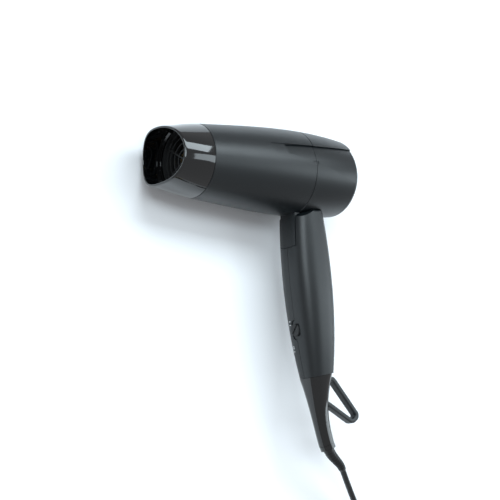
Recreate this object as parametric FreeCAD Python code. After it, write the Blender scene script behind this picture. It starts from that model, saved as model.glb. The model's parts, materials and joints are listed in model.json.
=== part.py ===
# Travel hair dryer with a folding handle, a push-on concentrator nozzle and its mains lead.
# Design axes: X along the barrel towards the air inlet, Y towards the barrel's top (the handle
# hangs along -Y), Z out of the side that faces up when the dryer lies on a table.
import FreeCAD, Part
import math
import os

V = FreeCAD.Vector

# ---- driving dimensions, mm -------------------------------------------------------------
WALL = 2.2                 # shell thickness of barrel and handle
GAP = 0.3                  # gap between neighbouring shells

BARREL_LENGTH = 150.3      # nozzle seam to inlet rim
FRONT_R = 30.1             # barrel radius at the nozzle seam
SHOULDER_X, SHOULDER_R = 50.0, 34.0
BELLY_X, BELLY_R = 99.0, 35.7
REAR_R = 32.6              # barrel radius where the inlet rim starts to round over
RIM_ROUND = 6.0
COVER_SEAM_X = 100.0       # joint between barrel and rear cover

NOZZLE_LENGTH = 36.4
MOUTH_HALF_WIDTH = 28.5
MOUTH_HALF_HEIGHT = 23.5
MOUTH_CUTBACK = 6.8        # how far the mouth's sides stand behind its lips
NOZZLE_WALL = 1.8
SPIGOT_R = FRONT_R - 3.6    # outlet spigot that the nozzle pushes over
SPIGOT_LENGTH = 12.0
SNAP_WIRE_R = 0.7

HANDLE_TOP_Y = -31.0
HANDLE_END_Y = -167.0
HANDLE_TOP_X, HANDLE_END_X = 110.9, 122.2
TOP_DEPTH, MID_DEPTH, END_DEPTH = 15.5, 19.2, 13.6      # half sizes front to back
TOP_WIDTH, MID_WIDTH, END_WIDTH = 17.5, 18.5, 12.6      # half sizes side to side
MID_SHARE = 0.42           # where the grip is fullest, as a share of its length
SECTION_POWER = 2.6        # boxiness of the grip's section
SEAM_Y = HANDLE_END_Y - 1.0         # slanted lower edge of the grip at its centre
SEAM_DROP = 0.2            # slope of that edge
EAR_CLEARANCE = 0.8        # ear tops to the barrel's underside
PARTING_WIDTH, PARTING_DEPTH = 0.3, 0.25   # groove where the handle's halves meet
SEAM_CHAMFER = 0.35        # broken edges along the shell seams

PIVOT_X, PIVOT_Y = 104.0, -53.5
TONGUE_HALF = 9.3          # half thickness of the barrel's neck
TONGUE_REACH = 12.75       # neck's end radius about the pivot, near the mid-plane
TONGUE_TIP = 11.0          # the same at the neck's sides
TONGUE_FLAT = 4.5          # half width that keeps the full reach
TONGUE_BACK = 8.8
SLOT_GAP = 0.4             # neck's end to the bottom of the slot between the ears
PIN_R = 2.5
WASHER_R = 5.5
WASHER_T = 0.5
EAR_INNER = TONGUE_HALF + 0.65

GUARD_END_X, GUARD_END_Y = HANDLE_END_X + 8.1, HANDLE_END_Y - 57.0
GUARD_TILT = 26.0          # degrees from -Y at the guard's end
GUARD_END_R = 6.6
GUARD_WALL = 1.8
GUARD_HOLLOW = 0.8         # share of the guard's length that is hollow
LOOP_BAND, LOOP_WIDTH = 4.0, 7.5

KNOB_Y = HANDLE_END_Y + 36.0
KNOB_LENGTH, KNOB_WIDTH, KNOB_TRAVEL = 10.4, 9.0, 3.0
SELECTOR_Y, SELECTOR_R = HANDLE_END_Y + 63.0, 5.5

CORD_R = 2.5
COIL_R = 27.5              # middle of the coil's turns
PLUG_SIZE, PLUG_HEIGHT = 46.0, 19.0

FLOOR = -BELLY_R - 0.05    # table under the lying dryer

parts = {}


# ---- helpers ----------------------------------------------------------------------------
def vec(x, y, z=0.0):
    return V(x, y, z)


def cyl(r, length, base, direction):
    return Part.makeCylinder(r, length, base, direction)


def tube(r_out, r_in, length, base, direction):
    return cyl(r_out, length, base, direction).cut(cyl(r_in, length, base, direction))


def block(x0, x1, y0, y1, z0, z1):
    return Part.makeBox(x1 - x0, y1 - y0, z1 - z0, vec(x0, y0, z0))


def fuse_all(shapes):
    whole = shapes[0]
    for s in shapes[1:]:
        whole = whole.fuse(s)
    return whole.removeSplitter()


def spun(points):
    """Solid of revolution about the X axis from a closed (x, radius) outline."""
    outline = Part.makePolygon([vec(x, r) for x, r in points + [points[0]]])
    return Part.Face(outline).revolve(vec(0, 0), vec(1, 0), 360)


def edge_ring(x, r, size, side):
    """Ring whose slope cuts a chamfer on the round edge at x. The material lies on +X if side is 1."""
    over = size + 1.0
    return spun([(x - side, r - over), (x + side * over, r + 1), (x - side, r + 1)])


def beyond(point, normal):
    """Large block on the far side of the plane through a point."""
    reach = 60.0
    solid = Part.makeBox(2 * reach, 2 * reach, reach, vec(-reach, -reach, 0))
    solid.Placement = FreeCAD.Placement(point, FreeCAD.Rotation(vec(0, 0, 1), normal))
    return solid


def both_sides(shape):
    """A shape and its mirror image in the dryer's mid-plane."""
    return shape.fuse(shape.mirror(vec(0, 0), vec(0, 0, 1)))


def barrel_curve(shrink):
    curve = Part.BSplineCurve()
    curve.interpolate([vec(0, FRONT_R - shrink), vec(SHOULDER_X, SHOULDER_R - shrink),
                       vec(BELLY_X, BELLY_R - shrink),
                       vec(BARREL_LENGTH - RIM_ROUND, REAR_R - shrink)])
    return curve


def barrel_core(shrink, rim):
    """Barrel of revolution, its wall moved in by shrink, with a rounded inlet end if rim."""
    x_end = BARREL_LENGTH - RIM_ROUND
    r_end = REAR_R - shrink
    edges = [barrel_curve(shrink).toShape()]
    if rim:
        c = 1 - math.sqrt(0.5)
        mid = vec(BARREL_LENGTH - RIM_ROUND * c, r_end - RIM_ROUND * c)
        edges.append(Part.Arc(vec(x_end, r_end), mid,
                              vec(BARREL_LENGTH, r_end - RIM_ROUND)).toShape())
        last = vec(BARREL_LENGTH, r_end - RIM_ROUND)
    else:
        last = vec(x_end, r_end)
    foot = vec(last.x, 0)
    edges += [Part.makeLine(last, foot), Part.makeLine(foot, vec(0, 0)),
              Part.makeLine(vec(0, 0), vec(0, FRONT_R - shrink))]
    return Part.Face(Part.Wire(edges)).revolve(vec(0, 0), vec(1, 0), 360)


def radius_at(x):
    """Barrel's outer radius at x."""
    curve = barrel_curve(0.0)
    low, high = curve.FirstParameter, curve.LastParameter
    for _ in range(40):
        mid = 0.5 * (low + high)
        if curve.value(mid).x < x:
            low = mid
        else:
            high = mid
    return curve.value(0.5 * (low + high)).y


def oval_points(a, b, power, count=32):
    pts = []
    for i in range(count):
        t = 2 * math.pi * i / count
        c, s = math.cos(t), math.sin(t)
        pts.append((math.copysign(abs(c) ** (2 / power), c) * a,
                    math.copysign(abs(s) ** (2 / power), s) * b))
    return pts


def closed_curve(points):
    curve = Part.BSplineCurve()
    curve.interpolate(Points=points, PeriodicFlag=True)
    return Part.Wire(curve.toShape())


def grip_station(share):
    """Centre x, y and half sizes of the handle's section at a share of its length."""
    y = HANDLE_TOP_Y + (HANDLE_END_Y - HANDLE_TOP_Y) * share
    x = HANDLE_TOP_X + (HANDLE_END_X - HANDLE_TOP_X) * share
    if share < MID_SHARE:
        k = ((MID_SHARE - share) / MID_SHARE) ** 2
        return x, y, MID_DEPTH + (TOP_DEPTH - MID_DEPTH) * k, MID_WIDTH + (TOP_WIDTH - MID_WIDTH) * k
    k = ((share - MID_SHARE) / (1 - MID_SHARE)) ** 2
    return x, y, MID_DEPTH + (END_DEPTH - MID_DEPTH) * k, MID_WIDTH + (END_WIDTH - MID_WIDTH) * k


def share_at(y):
    return (HANDLE_TOP_Y - y) / (HANDLE_TOP_Y - HANDLE_END_Y)


def grip_front(y):
    x, _, a, _ = grip_station(share_at(y))
    return x - a


def grip_back(y):
    x, _, a, _ = grip_station(share_at(y))
    return x + a


def grip_body(shrink, first, last, count=10):
    """Handle's outer form, moved in by shrink, between two shares of its length."""
    wires = []
    for i in range(count):
        share = first + (last - first) * i / (count - 1)
        x, y, a, b = grip_station(share)
        pts = [vec(x + p, y, q) for p, q in oval_points(a - shrink, b - shrink, SECTION_POWER)]
        wires.append(closed_curve(pts))
    return Part.makeLoft(wires, True, False)


def double_cone(mid_r, side_r, half, flat):
    """Round end about the pivot, thick at the middle and smaller towards its two faces."""
    outline = [(-half, 0), (-half, side_r), (-flat, mid_r), (flat, mid_r), (half, side_r), (half, 0)]
    wire = Part.makePolygon([vec(PIVOT_X + r, PIVOT_Y, z) for z, r in outline + [outline[0]]])
    return Part.Face(wire).revolve(vec(PIVOT_X, PIVOT_Y), vec(0, 0, 1), 360)


def swept_tube(path, radius):
    """Round tube along straight runs joined by tangent arcs. Returns solid, length, radii."""
    pts = [vec(*p) for p in path]
    edges, radii, at = [], [], pts[0]
    for i in range(1, len(pts) - 1):
        a, b = pts[i - 1] - pts[i], pts[i + 1] - pts[i]
        la, lb = a.Length, b.Length
        a.normalize()
        b.normalize()
        turn = math.pi - a.getAngle(b)
        take = 0.45 * min(la, lb)
        r = take / math.tan(turn / 2)
        start, end = pts[i] + a * take, pts[i] + b * take
        bis = a + b
        bis.normalize()
        centre = pts[i] + bis * (r / math.cos(turn / 2))
        mid = centre - bis * r
        edges.append(Part.LineSegment(at, start).toShape())
        edges.append(Part.Arc(start, mid, end).toShape())
        radii.append(r)
        at = end
    edges.append(Part.LineSegment(at, pts[-1]).toShape())
    wire = Part.Wire(edges)
    way = pts[1] - pts[0]
    profile = Part.Wire(Part.makeCircle(radius, pts[0], way))
    return wire.makePipeShell([profile], True, False), wire.Length, radii


def half(shape, side):
    """The half of a shape on one side of the dryer's mid-plane."""
    z0, z1 = (0.0, 200.0) if side > 0 else (-200.0, 0.0)
    return shape.common(block(-300, 500, -500, 300, z0, z1))


# ---- barrel -----------------------------------------------------------------------------
outer = barrel_core(0.0, True)
inner = barrel_core(WALL, False)
ahead = block(-5, COVER_SEAM_X, -60, 60, -60, 60)
behind = block(COVER_SEAM_X + GAP, 400, -60, 60, -60, 60)

GRIP_OVERRUN = 1.06        # the grip's form runs on past its slanted end
grip_full = grip_body(0.0, 0.0, GRIP_OVERRUN, 15)

# neck: a tongue between the handle's ears, its front flush with the grip
neck_slab = block(60, PIVOT_X + TONGUE_BACK, PIVOT_Y, -20, -TONGUE_HALF, TONGUE_HALF)
neck_end = double_cone(TONGUE_REACH, TONGUE_TIP, TONGUE_HALF, TONGUE_FLAT)
neck_end = neck_end.common(block(60, PIVOT_X + TONGUE_BACK, -100, PIVOT_Y, -20, 20))
grip_reach = grip_body(0.0, -0.12, 1.0, 15)
neck = neck_slab.fuse(neck_end).common(grip_reach)
neck_raw = neck.cut(barrel_core(WALL * 0.5, False))
wire_way = block(PIVOT_X - 5.5, PIVOT_X + 5.5, PIVOT_Y + 9, -20, -5.5, 5.5)
pin_hole = cyl(PIN_R + 0.05, 60, vec(PIVOT_X, PIVOT_Y, -30), vec(0, 0, 1))

# sunk panels on both sides: a shallow ledge, and inside it a deeper panel that runs off the rear end
LEDGE = [(56.0, 16.0), (102.0, 18.2), (102.0, 1.8), (59.5, 4.2)]
PANEL = [(69.5, 15.8), (102.0, 17.9), (155.0, 21.2), (155.0, -12.0), (134.5, -6.0), (102.0, 4.6),
         (72.0, 7.8)]


def prism(points, z0, z1):
    face = Part.Face(Part.makePolygon([vec(x, y, z0) for x, y in points + [points[0]]]))
    return face.extrude(vec(0, 0, z1 - z0))


# each floor is the barrel's own form, tipped a little so that it is deepest under the upper edge
ledge_floor = barrel_core(0.0, True)
ledge_floor.rotate(vec(0, 0), vec(0, 1), 0.38)
ledge_floor.translate(vec(0, -0.6, 0.33))
panel_floor = barrel_core(0.0, True)
panel_floor.rotate(vec(0, 0), vec(0, 0, 1), 1.69)
panel_floor.translate(vec(0, -5.05, -0.25))
ledge_tool = prism(LEDGE, 10, 60).cut(ledge_floor)
panel_tool = prism(PANEL, 10, 60).cut(panel_floor)

seam_r = radius_at(COVER_SEAM_X)
shell = outer.cut(inner).common(ahead)
shell = shell.cut(edge_ring(0.0, FRONT_R, SEAM_CHAMFER, 1))
shell = shell.cut(edge_ring(COVER_SEAM_X, seam_r, SEAM_CHAMFER, -1))
shell = shell.fuse(neck_raw).cut(wire_way).cut(pin_hole)
shell = shell.cut(both_sides(ledge_tool)).cut(both_sides(panel_tool))
parts["barrel"] = shell.removeSplitter()

cover_notch = block(60, PIVOT_X + TONGUE_BACK + GAP, -60, -20, -TONGUE_HALF - GAP, TONGUE_HALF + GAP)
GRILLE_R = 25.0
GRILLE_X = BARREL_LENGTH - 5.0
cover_inner = inner.fuse(cyl(GRILLE_R - 1.5, 60, vec(110, 0), vec(1, 0)))
cover_inner = cover_inner.fuse(cyl(GRILLE_R + 0.1, 60, vec(GRILLE_X, 0), vec(1, 0)))
cover = outer.cut(cover_inner).common(behind).cut(cover_notch)
cover = cover.cut(both_sides(ledge_tool)).cut(both_sides(panel_tool))
cover = cover.cut(edge_ring(COVER_SEAM_X + GAP, seam_r, SEAM_CHAMFER, 1))
parts["rear_cover"] = cover.removeSplitter()


def grille(x, thick, r_out, rings, spokes, bar, hub):
    """Round grille of concentric rings joined by spokes."""
    pieces = [tube(r_out, r_out - bar * 1.6, thick, vec(x, 0), vec(1, 0)),
              cyl(hub, thick, vec(x, 0), vec(1, 0))]
    for i in range(1, rings + 1):
        r = hub + (r_out - hub) * i / (rings + 1)
        pieces.append(tube(r + bar / 2, r - bar / 2, thick, vec(x, 0), vec(1, 0)))
    for k in range(spokes):
        spoke = block(x, x + thick, 0, r_out - bar, -bar / 2, bar / 2)
        spoke.rotate(vec(0, 0), vec(1, 0), 360.0 * k / spokes)
        pieces.append(spoke)
    return fuse_all(pieces)


parts["inlet_grille"] = grille(GRILLE_X, 2.5, GRILLE_R, 6, 8, 1.3, 4.0)
parts["lint_screen"] = grille(GRILLE_X - 1.2, 0.9, GRILLE_R - 2.0, 11, 24, 0.5, 2.5)

# ---- outlet spigot, snap ring and nozzle --------------------------------------------------
SNAP_X = -SPIGOT_LENGTH * 0.6
spigot = spun([(-SPIGOT_LENGTH, SPIGOT_R - 2.2), (-SPIGOT_LENGTH, SPIGOT_R - 0.8),
               (-SPIGOT_LENGTH + 0.8, SPIGOT_R), (SNAP_X - 0.9, SPIGOT_R),
               (SNAP_X - 0.9, SPIGOT_R - 1.5), (SNAP_X + 0.9, SPIGOT_R - 1.5),
               (SNAP_X + 0.9, SPIGOT_R), (0.0, SPIGOT_R), (0.0, FRONT_R - WALL - 0.1),
               (4.0, FRONT_R - WALL - 0.1), (4.0, SPIGOT_R - 2.2)])
guard_bars = grille(-SPIGOT_LENGTH + 3.0, 2.0, SPIGOT_R - 2.1, 3, 6, 1.2, 3.0)
parts["outlet_spigot"] = spigot.fuse(guard_bars).removeSplitter()
parts["nozzle_snap_ring"] = Part.makeTorus(SPIGOT_R - SNAP_WIRE_R + 0.1, SNAP_WIRE_R,
                                           vec(SNAP_X, 0), vec(1, 0))


NOZZLE_SEAM_X, NOZZLE_SEAM_R = -0.35, FRONT_R - 0.1


def nozzle_loft(shrink):
    wires = []
    for x, a, b, power in ((NOZZLE_SEAM_X, NOZZLE_SEAM_R, NOZZLE_SEAM_R, 2.0),
                           (-SPIGOT_LENGTH, FRONT_R + 0.2, FRONT_R - 1.6, 2.0),
                           (-0.68 * NOZZLE_LENGTH, FRONT_R - 0.4, FRONT_R - 4.3, 2.15),
                           (-NOZZLE_LENGTH, MOUTH_HALF_WIDTH, MOUTH_HALF_HEIGHT, 2.3)):
        pts = [vec(x, q, p) for p, q in oval_points(a - shrink, b - shrink, power)]
        wires.append(closed_curve(pts))
    return Part.makeLoft(wires, True, False)


bite = Part.BSplineCurve()
bite.interpolate([vec(-NOZZLE_LENGTH + MOUTH_CUTBACK * (z / MOUTH_HALF_WIDTH) ** 2, -40, z)
                  for z in (-40, -20, 0, 20, 40)])
far = -NOZZLE_LENGTH - 30
ends = [bite.value(bite.FirstParameter), bite.value(bite.LastParameter)]
bite_face = Part.Face(Part.Wire([bite.toShape(), Part.makeLine(ends[1], vec(far, -40, 40)),
                                 Part.makeLine(vec(far, -40, 40), vec(far, -40, -40)),
                                 Part.makeLine(vec(far, -40, -40), ends[0])]))
bite_block = bite_face.extrude(vec(0, 80, 0))
nozzle = nozzle_loft(0.0).cut(nozzle_loft(NOZZLE_WALL).cut(block(-SPIGOT_LENGTH - 1.5, 5, -50, 50, -50, 50)))
nozzle = nozzle.cut(cyl(SPIGOT_R + 0.12, SPIGOT_LENGTH + 2, vec(-SPIGOT_LENGTH - 1.6, 0), vec(1, 0)))
nozzle = nozzle.cut(edge_ring(NOZZLE_SEAM_X, NOZZLE_SEAM_R, SEAM_CHAMFER, -1))
parts["nozzle"] = nozzle.cut(bite_block)

# ---- motor, fan and heater inside the barrel ----------------------------------------------
DUCT_R = 26.6
MOTOR_R, MOTOR_X0, MOTOR_X1 = 12.0, COVER_SEAM_X - 4.0, COVER_SEAM_X + 24.0
FAN_X0, FAN_X1 = MOTOR_X1 + 3.0, MOTOR_X1 + 15.0
duct = [tube(DUCT_R + 1.6, DUCT_R, 46, vec(95, 0), vec(1, 0)),
        tube(MOTOR_R + 1.6, MOTOR_R + 0.02, 26, vec(97, 0), vec(1, 0)),
        tube(31.2, DUCT_R + 1.0, 2.5, vec(104.0, 0), vec(1, 0)),
        tube(29.6, DUCT_R + 1.0, 2.5, vec(131.0, 0), vec(1, 0))]
for k in range(7):
    vane = block(100, 121, MOTOR_R + 0.8, DUCT_R + 0.8, -0.7, 0.7)
    vane.rotate(vec(110, 19, 0), vec(0, 1, 0), 14)
    vane.rotate(vec(0, 0), vec(1, 0), 360.0 * k / 7 + 12)
    duct.append(vane)
parts["fan_duct"] = fuse_all(duct)
parts["motor_can"] = fuse_all([cyl(MOTOR_R, MOTOR_X1 - MOTOR_X0, vec(MOTOR_X0, 0), vec(1, 0)),
                               cyl(3.5, 1.5, vec(MOTOR_X1, 0), vec(1, 0))]).cut(
    cyl(1.05, 60, vec(MOTOR_X0 + 6, 0), vec(1, 0)))
parts["motor_shaft"] = cyl(1.0, FAN_X1 - MOTOR_X0 - 8, vec(MOTOR_X0 + 8, 0), vec(1, 0))

fan = [cyl(9.0, FAN_X1 - FAN_X0 - 1.0, vec(FAN_X0, 0), vec(1, 0))]
for k in range(9):
    blade = block(FAN_X0 + 0.5, FAN_X1 - 0.5, 8.0, DUCT_R - 0.8, -0.6, 0.6)
    blade.rotate(vec((FAN_X0 + FAN_X1) / 2, 0, 0), vec(0, 1, 0), 34)
    blade.rotate(vec(0, 0), vec(1, 0), 40.0 * k)
    fan.append(blade)
fan = fuse_all(fan).common(cyl(DUCT_R - 0.8, FAN_X1 - FAN_X0, vec(FAN_X0, 0), vec(1, 0)))
parts["fan_rotor"] = fan.cut(cyl(1.0, 60, vec(FAN_X0 - 10, 0), vec(1, 0)))

MICA_X0, MICA_X1, MICA_R, MICA_T = 14.0, 88.0, 22.0, 0.8
board = block(MICA_X0, MICA_X1, -MICA_R, MICA_R, -MICA_T / 2, MICA_T / 2)
cross = block(MICA_X0, MICA_X1, -MICA_T / 2 - 0.1, MICA_T / 2 + 0.1, -MICA_R, MICA_R)
middle = (MICA_X0 + MICA_X1) / 2
slot_a = block(MICA_X0 - 1, middle, -MICA_T / 2 - 0.1, MICA_T / 2 + 0.1, -1, 1)
slot_b = block(middle - 0.3, MICA_X1 + 1, -1.5, 1.5, -MICA_T / 2 - 0.1, MICA_T / 2 + 0.1)
parts["mica_board_upright"] = board.cut(slot_a)
parts["mica_board_flat"] = cross.cut(slot_b)
sleeve_r = FRONT_R - WALL - 1.0
parts["mica_sleeve"] = tube(sleeve_r, sleeve_r - 0.6, MICA_X1 - 6, vec(6.0, 0), vec(1, 0))
COIL_PITCH, HEATER_TURNS, HEATER_WIRE_R = 6.5, 10, 0.6
parts["heating_coil"] = Part.Compound([
    Part.makeTorus(MICA_R + 1.1, HEATER_WIRE_R, vec(MICA_X0 + 6 + COIL_PITCH * i, 0), vec(1, 0))
    for i in range(HEATER_TURNS)])
parts["thermal_cutout"] = block(26, 38, 5, 14, MICA_T / 2, MICA_T / 2 + 3.5)
parts["thermal_fuse"] = cyl(2.0, 12.0, vec(44, 9, MICA_T / 2 + 2.0), vec(1, 0))
PLATE_T, DIODE_R, DIODE_LENGTH, DIODE_OFF = 1.4, 1.6, 4.8, 5.0
plate_x = MOTOR_X0 - PLATE_T
parts["diode_plate"] = tube(10.0, 2.0, PLATE_T, vec(plate_x, 0), vec(1, 0))
parts["rectifier_diodes"] = Part.Compound([
    cyl(DIODE_R, DIODE_LENGTH, vec(plate_x - DIODE_LENGTH, s * DIODE_OFF, t * DIODE_OFF), vec(1, 0))
    for s in (-1, 1) for t in (-1, 1)])

# ---- handle -------------------------------------------------------------------------------
barrel_room = barrel_core(-EAR_CLEARANCE, True)
grip = grip_full.cut(barrel_room)
# the barrel's underside sweeps lowest over the ears' front corners a quarter of the way round
barrel_swung = barrel_core(-0.5 * EAR_CLEARANCE, False)
barrel_swung.rotate(vec(PIVOT_X, PIVOT_Y), vec(0, 0, 1), 22.5)
grip = grip.cut(barrel_swung)
# slanted facets on the tops of the ears
ear_zone = block(60, 160, -60, -20, 5.0, 60)
inner_facet = beyond(vec(PIVOT_X - 7.6, PIVOT_Y + 15.8, EAR_INNER), vec(-0.5, 0.75, 0.43))
outer_facet = beyond(vec(PIVOT_X + 9.0, PIVOT_Y + 19.1, TOP_WIDTH + 0.7), vec(0.0, 0.6, 0.8))
for facet in (inner_facet, outer_facet):
    grip = grip.cut(both_sides(facet.common(ear_zone)))
hollow_top = share_at(PIVOT_Y - TONGUE_REACH - 4.0)
hollow = grip_body(WALL, hollow_top, GRIP_OVERRUN + 0.01, 10)
slot = block(60, PIVOT_X + TONGUE_BACK + 0.6, PIVOT_Y - 1, 0, -EAR_INNER, EAR_INNER)
slot = slot.fuse(double_cone(TONGUE_REACH + SLOT_GAP, TONGUE_TIP + SLOT_GAP, EAR_INNER, TONGUE_FLAT))
grip_shell = grip.cut(hollow).cut(slot)
grip_shell = grip_shell.cut(cyl(PIN_R + 0.03, 30.0, vec(PIVOT_X, PIVOT_Y, -15), vec(0, 0, 1)))
# passage for the wires from the grip up to the neck's slot
grip_shell = grip_shell.cut(cyl(4.0, 16, vec(PIVOT_X + 9, PIVOT_Y - 24, 0), vec(-0.35, 1, 0)))

# switch track and stem slot in the front, along the local slope of the grip
SLOPE = math.atan2(grip_front(KNOB_Y - 8) - grip_front(KNOB_Y + 8), 16.0)
KNOB_X = grip_front(KNOB_Y)


def at_knob(shape):
    """Turns a shape built about the origin (outward along -X, travel along Y) onto the grip."""
    shape.rotate(vec(0, 0), vec(0, 0, 1), math.degrees(SLOPE))
    shape.translate(vec(KNOB_X, KNOB_Y))
    return shape


def rounded_bar(x0, x1, length, width):
    """Stadium-shaped bar along Y with its thickness from x0 to x1."""
    r = width / 2
    mid = max(length / 2 - r, 0.01)
    pieces = [cyl(r, x1 - x0, vec(x0, s * mid, 0), vec(1, 0)) for s in (-1, 1)]
    return fuse_all([block(x0, x1, -mid, mid, -r, r)] + pieces)


track = at_knob(rounded_bar(-3, 0.9, KNOB_LENGTH + 2 * KNOB_TRAVEL + 1.0, KNOB_WIDTH + 0.8))
stem_slot = at_knob(block(-3, 8, -KNOB_TRAVEL - 2.2, KNOB_TRAVEL + 2.2, -2.0, 2.0))
grip_shell = grip_shell.cut(track).cut(stem_slot)
SELECTOR_X = grip_back(SELECTOR_Y)
grip_shell = grip_shell.cut(cyl(SELECTOR_R + 0.05, 12, vec(SELECTOR_X - 9, SELECTOR_Y), vec(1, 0)))

# screw bosses joining the two halves
# share of the grip's length, and distance behind its middle
BOSSES = [(0.39, 8.0), (0.64, 9.0), (0.89, 5.0)]
BOSS_R, SCREW_R, HEAD_R = 3.6, 1.4, 2.7
screws = []
for share, back in BOSSES:
    x, y, _, b = grip_station(share)
    grip_shell = grip_shell.fuse(cyl(BOSS_R, 2 * b, vec(x + back, y, -b), vec(0, 0, 1)).common(grip_full))
for share, back in BOSSES:
    x, y, _, b = grip_station(share)
    x += back
    grip_shell = grip_shell.cut(cyl(SCREW_R + 0.05, b + 8, vec(x, y, -b), vec(0, 0, 1)))
    grip_shell = grip_shell.cut(cyl(HEAD_R + GAP, 6.0, vec(x, y, -b - 2.5), vec(0, 0, 1)))
    screw = cyl(SCREW_R, b + 3, vec(x, y, -b + 4.5), vec(0, 0, 1))
    head = cyl(HEAD_R, 1.8, vec(x, y, -b + 1.7), vec(0, 0, 1))
    screws.append(screw.fuse(head).cut(block(x - 0.4, x + 0.4, y - 4, y + 4, -b, -b + 2.6)))
parts["handle_screws"] = Part.Compound(screws)
# the grip's lower end is cut on a slant that drops towards the front


def seam_height(x):
    return SEAM_Y + (x - HANDLE_END_X) * SEAM_DROP


seam_cut = Part.Face(Part.makePolygon([vec(60, seam_height(60), -60), vec(200, seam_height(200), -60),
                                       vec(200, -400, -60), vec(60, -400, -60),
                                       vec(60, seam_height(60), -60)]))
seam_block = seam_cut.extrude(vec(0, 0, 120))
grip_shell = grip_shell.cut(seam_block)
parting = block(60, 200, -250, -20, -PARTING_WIDTH / 2, PARTING_WIDTH / 2)
grip_shell = grip_shell.cut(parting.cut(grip_body(PARTING_DEPTH, 0.0, GRIP_OVERRUN, 15)))
parts["handle_left"] = half(grip_shell, -1)
parts["handle_right"] = half(grip_shell, 1)

# hinge
parts["hinge_pin"] = cyl(PIN_R, 29.0, vec(PIVOT_X, PIVOT_Y, -14.5), vec(0, 0, 1))
washer_z = TONGUE_HALF + 0.06
for name, z in (("hinge_washer_left", -washer_z - WASHER_T), ("hinge_washer_right", washer_z)):
    parts[name] = tube(WASHER_R, PIN_R + 0.03, WASHER_T, vec(PIVOT_X, PIVOT_Y, z), vec(0, 0, 1))

# switch knob, switch body, voltage selector
KNOB_PROUD = 1.3
knob = rounded_bar(-KNOB_PROUD, 0.5, KNOB_LENGTH, KNOB_WIDTH)
knob = knob.makeFillet(0.6, [e for e in knob.Edges if e.BoundBox.XMax < 0.01 - KNOB_PROUD])
slit = block(-2, -0.4, -10, 10, -0.9, 0.9)
slit.rotate(vec(0, 0), vec(1, 0), 43)
knob = knob.cut(slit).fuse(block(0.4, 7.0, -1.5, 1.5, -1.5, 1.5))
parts["switch_knob"] = at_knob(knob)
SWITCH_DEEP = 7.6
switch = block(4.0, 4.0 + SWITCH_DEEP, -11, 11, -5.0, 5.0).cut(
    block(3.0, 8.4, -KNOB_TRAVEL - 2.2, KNOB_TRAVEL + 2.2, -2.0, 2.0))
parts["slide_switch"] = at_knob(switch)
selector = cyl(SELECTOR_R, 6.0, vec(SELECTOR_X - 6.6, SELECTOR_Y), vec(1, 0))
selector = selector.cut(block(SELECTOR_X - 1.8, SELECTOR_X + 2, SELECTOR_Y - 4.4, SELECTOR_Y + 4.4,
                              -0.8, 0.8))
parts["voltage_selector"] = selector
parts["selector_switch"] = block(SELECTOR_X - 15.5, SELECTOR_X - 6.9, SELECTOR_Y - 7, SELECTOR_Y + 7, -6, 6)

# ---- cord guard, collar and hanging loop ----------------------------------------------------
TILT = math.radians(GUARD_TILT)
END_WAY = vec(math.sin(TILT), -math.cos(TILT), 0)


def guard_station(share):
    """Centre, half sizes and lean of the cord guard at a share of its length."""
    y0 = SEAM_Y - 0.2
    x = HANDLE_END_X - 0.25 + (GUARD_END_X - HANDLE_END_X) * max(share, 0.0) ** 2.2 + 0.9 * share
    y = y0 + (GUARD_END_Y - y0) * share
    fall = max(1 - share, 0.0) ** 2.5
    a = GUARD_END_R + (END_DEPTH - 0.4 - GUARD_END_R) * fall
    b = GUARD_END_R + (END_WIDTH - 0.4 - GUARD_END_R) * fall
    lean = SEAM_DROP * (1 - share) + TILT * share * share
    return x, y, a, b, lean


def guard_loft(shrink, first, last, count=7):
    wires = []
    for i in range(count):
        share = first + (last - first) * i / (count - 1)
        x, y, a, b, lean = guard_station(share)
        power = 2.0 + (SECTION_POWER - 2.0) * max(1 - share * 1.6, 0)
        pts = [vec(x + p * math.cos(lean), y + p * math.sin(lean), q)
               for p, q in oval_points(a - shrink, b - shrink, power)]
        wires.append(closed_curve(pts))
    return Part.makeLoft(wires, True, False)


guard = guard_loft(0.0, 0.0, 1.0)
guard = guard.cut(guard_loft(GUARD_WALL, -0.02, GUARD_HOLLOW))


def band(points, width, thick, closed):
    """Flat band following a rounded outline in the XY plane."""
    wire = Part.makePolygon([vec(x, y) for x, y in points] + ([vec(*points[0])] if closed else []))
    solid = Part.Face(wire).extrude(vec(0, 0, width))
    corner = [e for e in solid.Edges if abs(e.BoundBox.ZLength - width) < 1e-6]
    solid = solid.makeFillet(3.4, corner)
    hole = Part.Face(wire.makeOffset2D(-thick, 2)).extrude(vec(0, 0, width))
    upright = [e for e in hole.Edges if abs(e.BoundBox.ZLength - width) < 1e-6]
    hole = hole.makeFillet(1.2, upright)
    solid = solid.cut(hole)
    solid.translate(vec(0, 0, -width / 2))
    return solid


LOOP = [(HANDLE_END_X + dx, HANDLE_END_Y + dy) for dx, dy in (
    (5.3, 0.5), (17.2, -1.6), (45.3, -33.5), (36.1, -40.6), (11.3, -27.0), (4.3, -23.4))]
ring = band(LOOP, LOOP_WIDTH, LOOP_BAND, True)
ring = ring.cut(guard_loft(GUARD_WALL - 0.2, 0.0, 1.0)).cut(grip_full.cut(seam_block))
loop = max(ring.Solids, key=lambda solid: solid.Volume)
parts["hanging_loop"] = loop
guard = guard.cut(loop)
sleeve_start = vec(GUARD_END_X + 0.65, GUARD_END_Y, 0)
STUB_R = CORD_R + 0.5
guard = guard.cut(cyl(STUB_R + 0.4, 40, sleeve_start - END_WAY * 14.2, END_WAY))
parts["cord_guard"] = guard
COLLAR_LENGTH = 4.0
parts["guard_collar"] = tube(GUARD_END_R - 0.1, CORD_R + 2.0, COLLAR_LENGTH, sleeve_start + END_WAY * 0.25,
                             END_WAY).cut(guard)

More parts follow.
